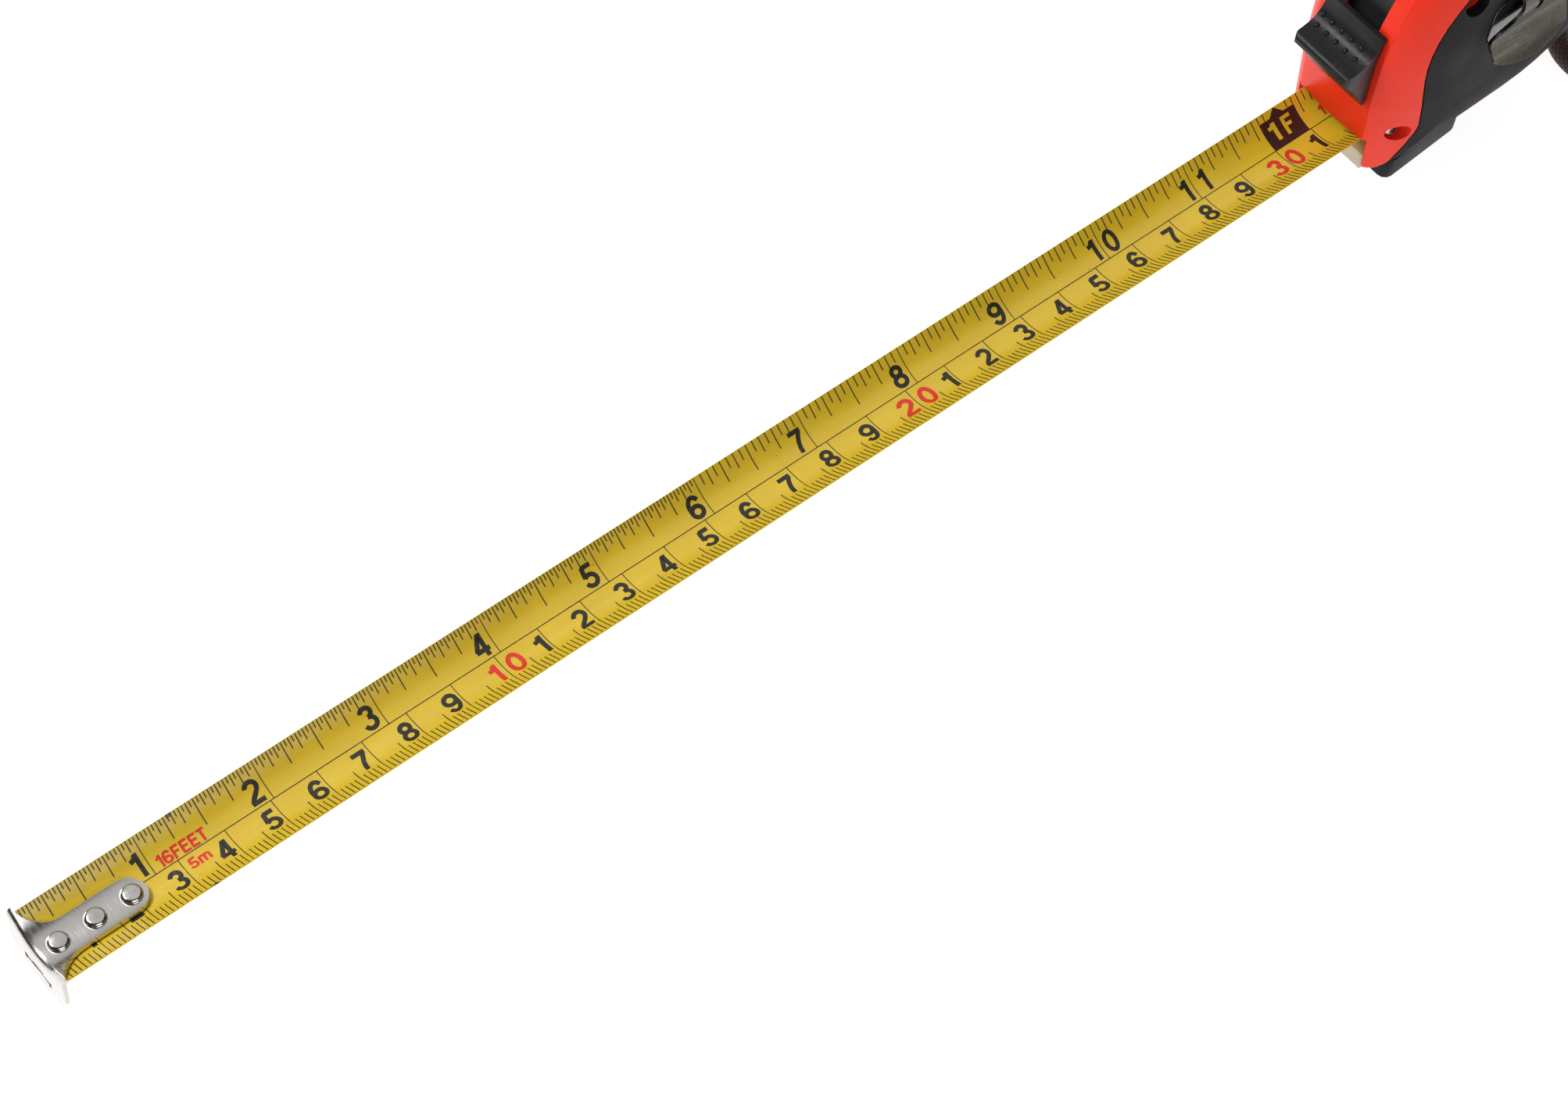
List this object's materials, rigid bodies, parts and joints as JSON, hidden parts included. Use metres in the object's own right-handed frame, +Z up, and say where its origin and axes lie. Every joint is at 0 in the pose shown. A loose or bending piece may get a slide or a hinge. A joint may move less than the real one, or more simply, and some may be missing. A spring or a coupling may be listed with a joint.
{
  "type": "tape measure",
  "caption": "Pocket tape measure standing on its base with the hooked yellow blade drawn out, a thumb lock, a rubber-covered orange case, a folded belt clip and a wrist strap.",
  "frame": {"origin": "on the foot's bottom face, under the middle of the case", "axes": "+X from the hook towards the back of the case, along the blade; +Y towards the inch edge of the blade; +Z up"},
  "size_m": [0.4349, 0.062, 0.068],
  "materials": {
    "case_orange": "satin moulded ABS, orange-red",
    "rubber_black": "matt over-moulded rubber",
    "foot_rubber": "matt rubber",
    "guide_ivory": "natural acetal",
    "blade_yellow": "yellow lacquer under a clear film",
    "hook_nickel": "nickel plate, slightly worn",
    "rivet_nickel": "nickel plate, domed",
    "lock_black": "black plastic with a soft sheen",
    "lock_plastic": "black plastic",
    "reel_plastic": "grey moulded plastic",
    "spring_steel": "blued spring steel",
    "spring_cover_steel": "stamped steel",
    "post_steel": "turned steel",
    "screw_steel": "zinc-plated steel",
    "clip_steel": "nickel-plated spring steel",
    "nut_brass": "turned brass",
    "strap_black": "woven nylon",
    "label_gloss": "blank printed film with a gloss coat"
  },
  "bodies": {
    "case": {"case_body": "case_orange", "case_cover": "case_orange", "rubber_near": "rubber_black", "rubber_far": "rubber_black", "base_foot": "foot_rubber", "blade_guide": "guide_ivory", "centre_post": "post_steel", "screw_front_lower": "screw_steel", "screw_front_upper": "screw_steel", "screw_rear_lower": "screw_steel", "screw_rear_upper": "screw_steel", "clip_screw": "screw_steel", "clip_nut": "nut_brass", "strap_pin": "screw_steel", "wrist_strap": "strap_black", "side_label_near": "label_gloss", "side_label_far": "label_gloss"},
    "blade": {"tape_blade": "blade_yellow", "hook_rivet_1": "rivet_nickel", "hook_rivet_2": "rivet_nickel", "hook_rivet_3": "rivet_nickel"},
    "hook": {"end_hook": "hook_nickel"},
    "reel": {"reel_drum": "reel_plastic", "blade_coil": "blade_yellow", "main_spring": "spring_steel", "spring_cover": "spring_cover_steel"},
    "lock": {"thumb_lock": "lock_black", "lock_retainer": "lock_plastic", "lock_wedge": "lock_plastic"},
    "clip": {"belt_clip": "clip_steel"}
  },
  "joints": [
    {"name": "blade_slide", "type": "slide", "parent": "case", "child": "blade", "axis": [1, 0, 0], "range_m": [0, 0.3105], "deforming": ["tape_blade"]},
    {"name": "hook_play", "type": "slide", "parent": "blade", "child": "hook", "axis": [1, 0, 0], "range_m": [-0.0005, 0.0005]},
    {"name": "reel_spin", "type": "hinge", "parent": "case", "child": "reel", "pos_m": [0.0008, 0, 0.035], "axis": [0, 1, 0], "range_deg": [-806, 1]},
    {"name": "lock_swing", "type": "hinge", "parent": "case", "child": "lock", "pos_m": [0.01, 0, 0.0335], "axis": [0, 1, 0], "range_deg": [0, 9.5]},
    {"name": "clip_flex", "type": "hinge", "parent": "case", "child": "clip", "pos_m": [-0.0049, -0.0173, 0.0615], "axis": [-1, 0, 0], "range_deg": [0, 4]}
  ],
  "couplings": [
    {"joint": "reel_spin", "follows": "blade_slide", "rad_per_m": -45.249}
  ]
}
